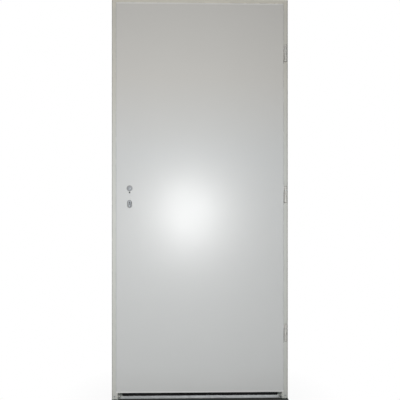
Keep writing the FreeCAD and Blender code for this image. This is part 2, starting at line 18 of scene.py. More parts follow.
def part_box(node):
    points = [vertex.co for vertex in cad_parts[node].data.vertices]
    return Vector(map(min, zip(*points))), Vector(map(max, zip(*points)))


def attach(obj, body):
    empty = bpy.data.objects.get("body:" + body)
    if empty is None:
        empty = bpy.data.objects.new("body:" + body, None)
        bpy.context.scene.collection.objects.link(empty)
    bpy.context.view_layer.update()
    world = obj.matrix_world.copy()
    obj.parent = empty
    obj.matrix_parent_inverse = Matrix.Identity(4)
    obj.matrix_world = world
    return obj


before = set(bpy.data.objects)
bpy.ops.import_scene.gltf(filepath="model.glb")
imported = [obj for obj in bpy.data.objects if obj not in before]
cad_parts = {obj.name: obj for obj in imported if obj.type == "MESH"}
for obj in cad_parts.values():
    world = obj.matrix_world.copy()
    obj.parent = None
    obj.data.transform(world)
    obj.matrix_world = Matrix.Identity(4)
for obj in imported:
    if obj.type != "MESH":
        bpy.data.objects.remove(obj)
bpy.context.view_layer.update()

LOG = logging.getLogger("utility_door")
MM = 0.001
LEVELS = ("lower", "middle", "upper")
FRONT = Vector((0, -1, 0))

Tree = bpy.types.NodeTree
Node = bpy.types.Node
Socket = bpy.types.NodeSocket
Material = bpy.types.Material
Mesh = bmesh.types.BMesh
Pair = tuple[float, float]
Point = tuple[float, float, float]


class Body(Enum):
    """The two rigid bodies of the door."""

    FRAME = "frame"
    LEAF = "leaf"


class Slot(Enum):
    """The record's material slots, named alongside the added pieces."""

    COAT = "coated_steel"
    GALVANISED = "galvanised_steel"
    BRIGHT = "bright_steel"
    INSERT = "insert_metal"
    RUBBER = "seal_rubber"


def linear(code: str) -> tuple[float, float, float, float]:
    """Turn an sRGB hex colour into linear values.

    Args:
        code: six hex digits with a leading hash.

    Returns:
        Red, green, blue and an alpha of one.
    """
    parts = [int(code[k:k + 2], 16) / 255 for k in (1, 3, 5)]
    values = [p / 12.92 if p <= 0.04045 else ((p + 0.055) / 1.055) ** 2.4 for p in parts]
    return (values[0], values[1], values[2], 1.0)


def set_out(name: str, data: bpy.types.ID, spot: Iterable[float] = (0, 0, 0)) -> bpy.types.Object:
    """Put a mesh, a lamp or a camera into the scene.

    Args:
        name: the new object's name.
        data: what it shows.
        spot: its place in metres.

    Returns:
        The new object.
    """
    thing = bpy.data.objects.new(name, data)
    thing.location = spot
    bpy.context.scene.collection.objects.link(thing)
    return thing


def wire(node: Node, links: dict[str | int, Socket]) -> None:
    """Feed a node's inputs, given by name or number, from other nodes' outputs."""
    for name, source in links.items():
        node.id_data.links.new(source, node.inputs[name])


def add_node(tree: Tree, kind: str, settings: dict | None = None, links: dict | None = None) -> Node:
    """Add one node with its settings and its incoming links.

    Args:
        tree: the node tree that gets the node.
        kind: the node type's name, after its first part ShaderNode.
        settings: attribute names, or input names or numbers in a tuple, with their values.
        links: input names or numbers with the output sockets that feed them.

    Returns:
        The new node.
    """
    node = tree.nodes.new("ShaderNode" + kind)
    for name, value in (settings or {}).items():
        if isinstance(name, tuple):
            node.inputs[name[0]].default_value = value
        else:
            setattr(node, name, value)
    wire(node, links or {})
    return node


class Canvas:
    """A material while it is being made, with its shader and its coordinates in metres."""

    def __init__(self, name: str, tint: str) -> None:
        """Start a material with a plain shader.

        Args:
            name: the material's name.
            tint: its hex colour.
        """
        self.material = bpy.data.materials.new(name)
        self.material.use_nodes = True
        self.material.diffuse_color = linear(tint)
        self.tree = self.material.node_tree
        self.shader = self.tree.nodes["Principled BSDF"]
        self.spot = self.add("TexCoord").outputs["Object"]
        self.place = {"Vector": self.spot}
        self.axes = self.add("SeparateXYZ", None, self.place).outputs

    def add(self, kind: str, settings: dict | None = None, links: dict | None = None) -> Node:
        """Add one node to this material, as add_node does."""
        return add_node(self.tree, kind, settings, links)

    def product(self, *factors: Socket) -> Socket:
        """Multiply all the values together."""
        whole = factors[0]
        for factor in factors[1:]:
            whole = self.add("Math", {"operation": "MULTIPLY"}, {0: whole, 1: factor}).outputs[0]
        return whole

    def away(self, axis: str, middle_mm: float) -> Socket:
        """Measure the distance in metres, never negative, from a line across one axis."""
        side = self.add("Math", {"operation": "SUBTRACT", (1,): middle_mm * MM}, {0: self.axes[axis]})
        return self.add("Math", {"operation": "ABSOLUTE"}, {0: side.outputs[0]}).outputs[0]

    def fading(self, source: Socket, none_mm: float, full_mm: float) -> Socket:
        """Fade from nothing to one between two distances."""
        reach = {("From Min",): none_mm * MM, ("From Max",): full_mm * MM}
        return self.add("MapRange", reach, {"Value": source}).outputs["Result"]

    def tinted(self, fac: Socket, low: str, high: str) -> Socket:
        """Mix two hex colours: the low one where the factor is zero, the high one where it is one."""
        colours = {"data_type": "RGBA", (6,): linear(low), (7,): linear(high)}
        return self.add("Mix", colours, {0: fac}).outputs[2]

    def covered(self, share: Socket, under: Socket, tint: str) -> Socket:
        """Lay a hex colour over the colour under it, as much of it as the share says."""
        return self.add("Mix", {"data_type": "RGBA", (7,): linear(tint)}, {0: share, 6: under}).outputs[2]

    def relief(self, height: Socket, depth_mm: float, strength: float, under: Socket | None = None) -> Socket:
        """Turn a height pattern into a bumped normal.

        Args:
            height: the height pattern, zero to one.
            depth_mm: how deep the pattern is.
            strength: how much of it shows.
            under: a normal that this relief lies on.

        Returns:
            The normal.
        """
        bump = self.add("Bump", {("Strength",): strength, ("Distance",): depth_mm * MM}, {"Height": height})
        if under is not None:
            wire(bump, {"Normal": under})
        return bump.outputs["Normal"]


@dataclass(frozen=True)
class Mark:
    """A change of tone on part of a surface, down to a depth behind the door's front plane."""

    tint: str
    amount: float
    depth_mm: float = field(default=1000.0, kw_only=True)
    soft_mm: float = field(default=2.0, kw_only=True)
    thinnest: float = field(default=0.7, kw_only=True)

    def mask(self, canvas: Canvas) -> Socket:
        """Say where the mark lies, one on it and zero away from it."""
        raise NotImplementedError

    def lay(self, canvas: Canvas, speck: Socket, under: Socket) -> Socket:
        """Mix the mark over a colour, a little patchy.

        Args:
            canvas: the material being made.
            speck: a fine pattern that breaks the mark up.
            under: the colour below.

        Returns:
            The mixed colour.
        """
        patchy = canvas.add("MapRange", {("To Min",): self.thinnest * self.amount, ("To Max",): self.amount},
                            {"Value": speck})
        reach = canvas.fading(canvas.axes["Y"], self.depth_mm + self.soft_mm, self.depth_mm)
        share = canvas.product(self.mask(canvas), reach, patchy.outputs["Result"])
        return canvas.covered(share, under, self.tint)


@dataclass(frozen=True)
class EdgeTone(Mark):
    """A tone along an edge, placed by its distance from a line."""

    axis: str
    middle_mm: float
    none_mm: float
    full_mm: float

    def mask(self, canvas: Canvas) -> Socket:
        """Cover the strip between two distances from the line."""
        return canvas.fading(canvas.away(self.axis, self.middle_mm), self.none_mm, self.full_mm)


@dataclass(frozen=True)
class TonePatch(Mark):
    """A soft-edged rectangle of another tone on the door's front, such as the painted shade beside a hinge.
    """

    middle_mm: Pair
    half_mm: Pair

    def mask(self, canvas: Canvas) -> Socket:
        """Cover the rectangle."""
        return canvas.product(*(canvas.fading(canvas.away(axis, middle), half + self.soft_mm, half)
                                for axis, middle, half in zip("XZ", self.middle_mm, self.half_mm)))


@dataclass(frozen=True)
class Finish:
    """What every finish has: a name, a colour, a gloss, and the marks that lie on it."""

    name: str
    tint: str
    roughness: float = 0.5
    metallic: float = 0.0
    marks: tuple[Mark, ...] = ()
    mirror: float = 0.5

    def marked(self, canvas: Canvas, speck: Socket, colour: Socket) -> Socket:
        """Lay this finish's marks over its colour, one after another.

        Args:
            canvas: the material being made.
            speck: a fine pattern that breaks the marks up.
            colour: the colour below them.

        Returns:
            The colour with every mark on it.
        """
        for mark in self.marks:
            colour = mark.lay(canvas, speck, colour)
        return colour

    def gloss(self, canvas: Canvas, pattern: Socket, smoother: float, rougher: float) -> Socket:
        """Vary the roughness between where a pattern is zero and where it is one."""
        ends = {("To Min",): self.roughness - smoother, ("To Max",): self.roughness + rougher}
        return canvas.add("MapRange", ends, {"Value": pattern}).outputs["Result"]

    def paint(self, canvas: Canvas) -> dict[str, Socket]:
        """Make the patterns that feed the shader's inputs; each finish has its own."""
        raise NotImplementedError

    def build(self) -> Material:
        """Build the material: its plain values first, then its patterns."""
        canvas = Canvas(self.name, self.tint)
        plain = {"Base Color": linear(self.tint), "Roughness": self.roughness, "Metallic": self.metallic,
                 "Specular IOR Level": self.mirror}
        for name, value in plain.items():
            canvas.shader.inputs[name].default_value = value
        wire(canvas.shader, self.paint(canvas))
        return canvas.material


@dataclass(frozen=True)
class PowderCoat(Finish):
    """Polyester powder coat, sprayed on zinc coated sheet and oven cured.

    To the eye it is a satin skin with a faint orange-peel dimple that softens every
    reflection, a touch of cloud in its tone, and a little grey dust towards the floor.
    The matting powder in it leaves less than half of a plain gloss coat's mirror part.
    """

    mirror: float = 0.335
    shade: str = "#D1D3D3"
    dust: str = "#A8A49B"
    dust_height_mm: float = 170.0
    dust_amount: float = 0.22
    speck_scale: float = 110.0
    cloud_mm: float = 260.0
    ripple_mm: float = 420.0
    # real peel is about 1.5 mm across; it is drawn at twice that so that it shows
    peel_mm: float = 3.0

    def paint(self, canvas: Canvas) -> dict[str, Socket]:
        """Cloud the tone, dust the foot and dimple the skin.

        Args:
            canvas: the material being made.

        Returns:
            The sockets that feed the shader's inputs.
        """
        cloud = canvas.add("TexNoise", {("Scale",): 1000 / self.cloud_mm, ("Detail",): 3.0}, canvas.place)
        speck = canvas.add("TexNoise", {("Scale",): self.speck_scale, ("Detail",): 6.0, ("Roughness",): 0.7},
                           canvas.place)
        ripple = canvas.add("TexNoise", {("Scale",): 1000 / self.ripple_mm, ("Detail",): 0.0}, canvas.place)
        peel = canvas.add("TexNoise", {("Scale",): 1000 / self.peel_mm, ("Detail",): 1.0}, canvas.place)
        low = canvas.add("MapRange", {("From Max",): self.dust_height_mm * MM, ("To Min",): self.dust_amount,
                                      ("To Max",): 0.0}, {"Value": canvas.axes["Z"]})
        film = canvas.product(low.outputs["Result"], speck.outputs["Fac"])
        body = canvas.covered(film, canvas.tinted(cloud.outputs["Fac"], self.tint, self.shade), self.dust)
        wave = canvas.relief(ripple.outputs["Fac"], 0.5, 0.25)
        return {"Base Color": self.marked(canvas, speck.outputs["Fac"], body),
                "Roughness": self.gloss(canvas, cloud.outputs["Fac"], 0.02, 0.03),
                "Normal": canvas.relief(peel.outputs["Fac"], 0.04, 0.35, wave)}


@dataclass(frozen=True)
class GalvanisedSheet(Finish):
    """Hot-dip galvanised sheet, left bare.

    To the eye it is a dull grey metal broken into frosty crystal patches about 12 mm across,
    each with its own tone and shine.
    """

    metallic: float = 1.0
    dark: str = "#8C9093"
    spangle_mm: float = 12.0
    ragged_mm: float = 4.0
    ragged_scale: float = 240.0

    def paint(self, canvas: Canvas) -> dict[str, Socket]:
        """Break the surface into crystals with ragged borders.

        Args:
            canvas: the material being made.

        Returns:
            The sockets that feed the shader's inputs.
        """
        warp = canvas.add("TexNoise", {("Scale",): self.ragged_scale, ("Detail",): 2.0}, canvas.place)
        shift = canvas.add("VectorMath", {"operation": "SCALE", ("Scale",): self.ragged_mm * MM},
                           {0: warp.outputs["Color"]})
        bent = canvas.add("VectorMath", {"operation": "ADD"}, {0: canvas.spot, 1: shift.outputs[0]})
        crystal = canvas.add("TexVoronoi", {("Scale",): 1000 / self.spangle_mm}, {"Vector": bent.outputs[0]})
        tone = canvas.add("SeparateXYZ", None, {0: crystal.outputs["Color"]}).outputs
        body = canvas.tinted(tone["X"], self.dark, self.tint)
        return {"Base Color": self.marked(canvas, warp.outputs["Fac"], body),
                "Roughness": self.gloss(canvas, tone["Y"], 0.1, 0.12),
                "Normal": canvas.relief(crystal.outputs["Distance"], 0.05, 0.3)}


@dataclass(frozen=True)
class ZincPlate(Finish):
    """Bright zinc plate on machined steel.

    To the eye it is a cool silver with fine lines along the rolling direction and a faint
    blue-grey bloom where it has been handled.
    """

    metallic: float = 1.0
    bloom: str = "#94999E"
    bloom_scale: float = 60.0
    line_mm: float = 0.8
    line_draw: float = 12.0

    def paint(self, canvas: Canvas) -> dict[str, Socket]:
        """Draw the rolling lines and the bloom.

        Args:
            canvas: the material being made.

        Returns:
            The sockets that feed the shader's inputs.
        """
        fine = 1000 / self.line_mm
        drawn = canvas.add("Mapping", {("Scale",): (fine, fine, self.line_draw)}, canvas.place)
        grain = canvas.add("TexNoise", {("Scale",): 1.0, ("Detail",): 3.0}, {"Vector": drawn.outputs[0]})
        patch = canvas.add("TexNoise", {("Scale",): self.bloom_scale, ("Detail",): 4.0}, canvas.place)
        return {"Base Color": canvas.tinted(patch.outputs["Fac"], self.bloom, self.tint),
                "Roughness": self.gloss(canvas, grain.outputs["Fac"], 0.06, 0.12),
                "Normal": canvas.relief(grain.outputs["Fac"], 0.03, 0.3)}


@dataclass(frozen=True)
class SealRubber(Finish):
    """Extruded synthetic rubber.

    To the eye it is a soft dull tone with a fine drawn grain along its length and a pale
    bloom of chalk in places.
    """

    mirror: float = 0.12
    chalk: str = "#232323"
    chalk_scale: float = 35.0
    chalk_from: Pair = (0.55, 0.8)
    chalk_most: float = 0.6
    grain_mm: float = 1.2

    def paint(self, canvas: Canvas) -> dict[str, Socket]:
        """Chalk the rubber in places and grain it.

        Args:
            canvas: the material being made.

        Returns:
            The sockets that feed the shader's inputs.
        """
        bloom = canvas.add("TexNoise", {("Scale",): self.chalk_scale, ("Detail",): 5.0, ("Roughness",): 0.65},
                           canvas.place)
        none, full = self.chalk_from
        reach = {("From Min",): none, ("From Max",): full, ("To Max",): self.chalk_most}
        sparse = canvas.add("MapRange", reach, {"Value": bloom.outputs["Fac"]})
        grain = canvas.add("TexNoise", {("Scale",): 1000 / self.grain_mm, ("Detail",): 2.0}, canvas.place)
        return {"Base Color": canvas.tinted(sparse.outputs["Result"], self.tint, self.chalk),
                "Normal": canvas.relief(grain.outputs["Fac"], 0.08, 0.4)}


@dataclass(frozen=True)
class MineralWool(Finish):
    """Pressed mineral wool board.

    To the eye it is a matt straw-brown felt of short crossed fibres.
    """

    fibre_dark: str = "#7E6C3F"
    fibre_mm: float = 12.0
    crossing: Point = (1.0, 6.0, 3.0)

    def paint(self, canvas: Canvas) -> dict[str, Socket]:
        """Felt the surface with fibres.

        Args:
            canvas: the material being made.

        Returns:
            The sockets that feed the shader's inputs.
        """
        laid = canvas.add("Mapping", {("Scale",): self.crossing}, canvas.place)
        fibre = canvas.add("TexNoise", {("Scale",): 1000 / self.fibre_mm, ("Detail",): 8.0,
                                        ("Roughness",): 0.75}, {"Vector": laid.outputs[0]})
        return {"Base Color": canvas.tinted(fibre.outputs["Fac"], self.fibre_dark, self.tint),
                "Normal": canvas.relief(fibre.outputs["Fac"], 0.8, 0.8)}


@dataclass(frozen=True)
class DieCastZinc(Finish):
    """Die-cast zinc with its as-cast skin.

    To the eye it is a mid-grey, slightly pitted metal with soft broad reflections.
    """

    metallic: float = 1.0
    pit: str = "#5E6163"
    pit_mm: float = 1.5

    def paint(self, canvas: Canvas) -> dict[str, Socket]:
        """Pit the skin.

        Args:
            canvas: the material being made.

        Returns:
            The sockets that feed the shader's inputs.
        """
        pits = canvas.add("TexNoise", {("Scale",): 1000 / self.pit_mm, ("Detail",): 4.0}, canvas.place)
        body = canvas.tinted(pits.outputs["Fac"], self.pit, self.tint)
        return {"Base Color": self.marked(canvas, pits.outputs["Fac"], body),
                "Normal": canvas.relief(pits.outputs["Fac"], 0.1, 0.4)}


@dataclass(frozen=True)
class SoftPlastic(Finish):
    """Injection moulded soft plastic.

    To the eye it is an even grey with a waxy sheen, a faint cloudiness from the mould and
    fine scratches from fitting.
    """

    cloud_dark: str = "#B4B6B8"
    cloud_scale: float = 180.0
    scratch_mm: float = 0.6
    scratch_draw: Point = (1.0, 1.0, 0.2)

    def paint(self, canvas: Canvas) -> dict[str, Socket]:
        """Cloud the plastic and scratch it.

        Args:
            canvas: the material being made.

        Returns:
            The sockets that feed the shader's inputs.
        """
        cloud = canvas.add("TexNoise", {("Scale",): self.cloud_scale, ("Detail",): 3.0}, canvas.place)
        drawn = canvas.add("Mapping", {("Scale",): self.scratch_draw}, canvas.place)
        scratch = canvas.add("TexNoise", {("Scale",): 1000 / self.scratch_mm, ("Detail",): 2.0},
                             {"Vector": drawn.outputs[0]})
        return {"Base Color": canvas.tinted(cloud.outputs["Fac"], self.cloud_dark, self.tint),
                "Normal": canvas.relief(scratch.outputs["Fac"], 0.05, 0.3)}


class FinishShelf:
    """All finishes of the door, built once."""

    # how far the painted shade beside a hinge reaches below its lower barrel
    shade_run_mm = 10.0
    gap_middle_mm = 429.5
    gap_half_mm = 1.5

    def __init__(self) -> None:
        """Build every material."""
        self.coats()
        self.metals()
        self.soft_parts()

    def painted_hinge_gap_shade(self, level: str) -> TonePatch:
        """Place the painted shade in the gap beside one hinge.

        Args:
            level: which hinge.

        Returns:
            The painted shade, from the bearing ring to just below the lower barrel, where the barrel shades
            the frame below it.
        """
        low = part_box(f"{level}_hinge_frame")[0].z / MM - self.shade_run_mm
        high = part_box(f"{level}_hinge_washer")[1].z / MM
        return TonePatch("#3C3A36", 0.43, (self.gap_middle_mm, (low + high) / 2),
                     (self.gap_half_mm, (high - low) / 2))

    def coats(self) -> None:
        """Build the powder coats of leaf, frame, hinges and lock case."""
        # painted highlight: the coat is paler along the hems at the top and the bottom, where their bends
        # catch light
        painted_hem_highlight = EdgeTone("#FAFAF8", 0.42, "Z", 1032.75, 988.5, 991.0)
        # painted shade: the two long edges of the lip are greyed, where their rounded bends turn from the
        # light
        painted_lip_edge_shade = EdgeTone("#85868A", 0.3, "X", 0.0, 425.5, 429.5)
        # painted shade: the frame's outer edges are darkened, where the joint against the wall would shade
        # them
        painted_wall_joint_shade = EdgeTone("#5E5A52", 1.0, "X", 0.0, 447.5, 451.5, depth_mm=4.0, soft_mm=7.0)
        # more painted shade along the hinge side's outer edge
        painted_hinge_edge_shade = EdgeTone("#5E5A52", 0.22, "X", 451.5, 7.5, 3.5, depth_mm=4.0)
        # painted warm light: the coat is tinted warmer towards the top, and the head also lighter, as under a
        # warm light from above
        painted_warm_top_light = EdgeTone("#DCCEB9", 0.25, "Z", 2100.0, 850.0, 450.0)
        painted_warm_head_light = EdgeTone("#F2EAD6", 0.25, "Z", 2052.0, 60.0, 30.0, depth_mm=4.0)
        # the rim of the handle's screw hole is darker
        screw_hole_dark_rim = TonePatch("#4A4B4C", 0.55, (-360.5, 1060.5), (2.4, 3.0))
        # painted shade in the gap beside each hinge and along the far side of its barrel
        painted_hinge_gap_shades = tuple(self.painted_hinge_gap_shade(level) for level in LEVELS)
        painted_barrel_shade = EdgeTone("#4A4843", 0.75, "X", 448.0, 6.0, 3.0)
        self.leaf_coat = PowderCoat("powder_coat_leaf", "#D4D6D6", 0.32,
                                    marks=(painted_warm_top_light, painted_hem_highlight, painted_lip_edge_shade, screw_hole_dark_rim, *painted_hinge_gap_shades)).build()
        self.frame_coat = PowderCoat("powder_coat_frame", "#D1D3CE", 0.36, shade="#CCCEC9",
                                     marks=(painted_warm_top_light, painted_warm_head_light, painted_wall_joint_shade, painted_hinge_edge_shade, *painted_hinge_gap_shades)).build()
        # painted shade: the hinges take a slightly darker copy of the frame coat, to dim the light on their
        # rounded barrels
        self.hinge_coat = PowderCoat("powder_coat_hinges", "#CDCCC7", 0.36, shade="#C8C7C1",
                                     marks=(painted_barrel_shade,)).build()
        # painted shade: the pins take a darker copy of the hinge coat, for the shade at the barrels' ends
        self.shaded_cap_coat = PowderCoat("shaded_powder_coat_pin_caps", "#A5A39D", 0.45, shade="#9B9993").build()
        self.case_lacquer = PowderCoat("lock_case_lacquer", "#9A9C9E", 0.5, shade="#909294",
                                       mirror=0.4).build()

    def metals(self) -> None:
        """Build the bare and plated metals."""
        # painted shade darkens the rail's front edge, and painted light makes its ends paler
        painted_rail_front_shade = EdgeTone("#34322F", 1.0, "Y", -1.5, 3.5, 0.3)
        painted_rail_end_light = EdgeTone("#F4F4F2", 0.55, "X", 0.0, 385.0, 420.0)
        self.rail = GalvanisedSheet("galvanised_rail_painted_light", "#A6A9AB", 0.7, 0.35, (painted_rail_end_light, painted_rail_front_shade),
                                    dark="#9B9EA0").build()
        self.galvanised = GalvanisedSheet("galvanised_sheet", "#B2B5B7", 0.45).build()
        self.bright = ZincPlate("bright_zinc_plate", "#B4B8BB", 0.34).build()
        self.dull = ZincPlate("dull_zinc_plate", "#8B8E91", 0.5, bloom="#6A6E72").build()
        # painted shade: the inside of the keyhole is darkened near black, away from the insert's two faces
        keyhole = EdgeTone("#121212", 1.0, "Y", 10.5, 19.0, 16.5)
        self.cast = DieCastZinc("die_cast_zinc", "#7C7F81").build()
        self.insert = DieCastZinc("die_cast_insert", "#7C7F81", marks=(keyhole,)).build()

    def soft_parts(self) -> None:
        """Build the rubbers, the plastic and the wool."""
        self.end_rubber = SealRubber("grey_end_rubber", "#666A68", 0.75, chalk="#767A78").build()
        self.plug = SoftPlastic("dust_plug_plastic", "#C6C8CA", 0.55).build()
        self.rubber = SealRubber("black_seal_rubber", "#0F0F10", 0.7).build()
        self.wool = MineralWool("mineral_wool_board", "#BBA76C", 0.95).build()


def bridge(mesh: Mesh, rings: Sequence[Sequence[bmesh.types.BMVert]]) -> None:
    """Join neighbouring rings of points with faces; a ring of one point becomes a tip."""
    for low, high in zip(rings, rings[1:]):
        count = max(len(low), len(high))
        for k in range(count):
            n = (k + 1) % count
            corners = (low[k % len(low)], low[n % len(low)], high[n % len(high)], high[k % len(high)])
            face = list(dict.fromkeys(corners))
            if len(face) > 2:
                mesh.faces.new(face)


def closed(mesh: Mesh, rings: Sequence[Sequence[bmesh.types.BMVert]]) -> Mesh:
    """Close a mesh with its first and its last ring and turn all faces outwards."""
    mesh.faces.new(list(reversed(rings[0])))
    mesh.faces.new(rings[-1])
    bmesh.ops.recalc_face_normals(mesh, faces=mesh.faces)
    return mesh


def turned(profile: Sequence[Pair], steps: int = 32) -> Mesh:
    """Turn a profile round the Z axis, as on a lathe.

    Args:
        profile: radius and height pairs in millimetres, from one end to the other.
        steps: how many facets go round.

    Returns:
        The mesh in metres, closed at both ends where the radius is zero.
    """
    mesh = bmesh.new()
    angles = [2 * math.pi * k / steps for k in range(steps)]
    rings = []
    for radius, height in profile:
        if radius > 0:
            ring = [(radius * math.cos(angle), radius * math.sin(angle), height) for angle in angles]
        else:
            ring = [(0.0, 0.0, height)]
        rings.append([mesh.verts.new(Vector(point) * MM) for point in ring])
    bridge(mesh, rings)
    bmesh.ops.recalc_face_normals(mesh, faces=mesh.faces)
    return mesh


def drawn_bar(outline: Sequence[Pair], depth: float) -> Mesh:
    """Draw an outline out into a bar with a narrowed end, as a moulded plug has.

    Args:
        outline: corner points in millimetres, anticlockwise.
        depth: the bar's length in millimetres.

    Returns:
        The closed mesh in metres, from its wide end at the origin along +Z.
    """
    mesh = bmesh.new()
    rings = [[mesh.verts.new(Vector((x * share, y * share, height)) * MM) for x, y in outline]
             for share, height in ((1.0, 0.0), (1.0, 0.75 * depth), (0.93, depth))]
    bridge(mesh, rings)
    return closed(mesh, rings)


def rectangle(width: float, height: float) -> list[Pair]:
    """Outline of a rectangle round the origin in millimetres, anticlockwise."""
    w, h = width / 2, height / 2
    return [(-w, -h), (w, -h), (w, h), (-w, h)]


def cross_outline(arm: float, half: float) -> list[Pair]:
    """Outline of a cross from half its length and half its arm's width, in millimetres, anticlockwise."""
    return [(arm, -half), (arm, half), (half, half), (half, arm), (-half, arm), (-half, half),
            (-arm, half), (-arm, -half), (-half, -half), (-half, -arm), (half, -arm), (half, -half)]


def hex_outline(across_flats: float) -> list[Pair]:
    """Outline of a hexagon socket in millimetres, anticlockwise."""
    radius = across_flats / math.sqrt(3)
    return [(radius * math.cos(math.pi / 3 * k), radius * math.sin(math.pi / 3 * k)) for k in range(6)]


def recessed_head(rim: Sequence[Pair], recess: Sequence[Pair], depth: float) -> Mesh:
    """Make a screw head with a driver recess in its flat top.

    Args:
        rim: radius and height pairs from the head's underside to the edge of its flat top.
        recess: outline of the driver recess in millimetres.
        depth: depth of the recess in millimetres.

    Returns:
        The closed mesh in metres, with its axis along +Z.
    """
    mesh = turned([(0.0, rim[0][1]), *rim])
    top = rim[-1][1]
    narrowed = 0.8
    border = [edge for edge in mesh.edges if edge.is_boundary]
    low = [mesh.verts.new(Vector((x * narrowed, y * narrowed, top - depth)) * MM) for x, y in recess]
    high = [mesh.verts.new(Vector((x, y, top)) * MM) for x, y in recess]
    inner = [mesh.edges.new((high[k - 1], high[k])) for k in range(len(high))]
    bridge(mesh, (high, low))
    mesh.faces.new(low)
    bmesh.ops.triangle_fill(mesh, edges=border + inner, use_beauty=True)
    bmesh.ops.recalc_face_normals(mesh, faces=mesh.faces)
    return mesh


def countersunk_head(radius: float, arm: float) -> Mesh:
    """Make a countersunk screw head with a cross recess, its seat at the origin and its top along +Z."""
    rim = [(1.5, -1.6), (radius, -0.1), (radius, 0.15), (radius - 0.3, 0.35)]
    return recessed_head(rim, cross_outline(arm, 0.45), 1.0)


def weld_run(start: Vector, end: Vector, out: Vector, leg_mm: float, pitch_mm: float = 2.4) -> Mesh:
    """Make a fillet weld with its overlapping ripples.

    Args:
        start: one end of the seam, in metres.
        end: the other end.
        out: direction from the seam that the weld's face looks to.
        leg_mm: size of the weld's leg.
        pitch_mm: distance between ripples.

    Returns:
        The mesh in metres, in place.
    """
    along = (end - start).normalized()
    length = (end - start).length
    out = (out - along * out.dot(along)).normalized()
    side = along.cross(out).normalized()
    leg, pitch = leg_mm * MM, pitch_mm * MM
    flatness, ripple, thinnest, waver, waver_rate, per_ripple = 0.75, 0.14, 0.02, 0.06, 350.0, 6
    arc = [math.pi * k / 9 for k in range(10)]
    count = max(per_ripple, int(length / pitch * per_ripple))
    mesh = bmesh.new()
    rings = []
    for k in range(count + 1):
        travel = k / count * length
        swell = 1 - ripple + ripple * math.sqrt((travel / pitch) % 1.0)
        taper = min(1.0, math.sqrt(max(thinnest, min(travel, length - travel) / leg)))
        centre = start + along * travel + side * (waver * leg * math.sin(waver_rate * travel))
        rings.append([mesh.verts.new(centre + (out * math.sin(a) * flatness + side * math.cos(a))
                                     * leg * swell * taper) for a in arc])
    bridge(mesh, rings)
    return closed(mesh, rings)


def moved(mesh: Mesh, spot: Vector, normal: Vector) -> Mesh:
    """Stand a mesh built along +Z at a place, pointing along a normal.

    Args:
        mesh: the mesh, built at the origin.
        spot: where its origin goes, in metres.
        normal: the direction that its +Z becomes.

    Returns:
        The same mesh.
    """
    turn = normal.to_track_quat("Z", "Y").to_matrix().to_4x4()
    bmesh.ops.transform(mesh, matrix=Matrix.Translation(spot) @ turn, verts=mesh.verts)
    return mesh


@dataclass
class Assembly:
    """A group of the door's parts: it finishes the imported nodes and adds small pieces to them.

    Every size of a group is in millimetres.
    """

    shelf: FinishShelf
    sharp_degrees: float = 35.0
    added: int = 0

    def piece(self, name: str, meshes: Iterable[Mesh], body: Body, slot: Slot, material: Material,
              bevel_mm: float = 0.0) -> None:
        """Join meshes into one piece and hang it on a body.

        Args:
            name: the piece's name.
            meshes: meshes in place, in metres.
            body: the body that it rides on.
            slot: the record's slot for its finish; not used.
            material: its finish.
            bevel_mm: width of the broken edge, or zero for none.
        """
        data = bpy.data.meshes.new(name)
        whole = bmesh.new()
        for mesh in meshes:
            part = bpy.data.meshes.new(name + "_part")
            mesh.to_mesh(part)
            mesh.free()
            whole.from_mesh(part)
            bpy.data.meshes.remove(part)
        whole.to_mesh(data)
        whole.free()
        data.materials.append(material)
        thing = set_out(name, data)
        self.soften(thing, bevel_mm)
        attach(thing, body.value)
        self.added += 1
        LOG.info("%s rides on %s", name, body.value)

    def soften(self, thing: bpy.types.Object, bevel_mm: float) -> None:
        """Shade a piece smoothly between its real edges and break those edges.

        Args:
            thing: the object.
            bevel_mm: width of the broken edge, or zero for none.
        """
        data = thing.data
        sharp = math.radians(self.sharp_degrees)
        data.polygons.foreach_set("use_smooth", [True] * len(data.polygons))
        if bevel_mm > 0:
            bevel = thing.modifiers.new("broken_edge", "BEVEL")
            bevel.width = bevel_mm * MM
            bevel.segments = 2
            bevel.limit_method = "ANGLE"
            bevel.angle_limit = sharp
            bevel.harden_normals = True
        else:
            data.set_sharp_from_angle(angle=sharp)

    def coat(self, nodes: Iterable[str], material: Material, bevel_mm: float = 0.0) -> None:
        """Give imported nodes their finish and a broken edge.

        Args:
            nodes: the nodes' names.
            material: their finish.
            bevel_mm: width of the broken edge, or zero for none.
        """
        for node in nodes:
            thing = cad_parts[node]
            thing.data.materials.clear()
            thing.data.materials.append(material)
            for polygon in thing.data.polygons:
                polygon.material_index = 0
            self.soften(thing, bevel_mm)
            LOG.info("%s dressed in %s", node, material.name)


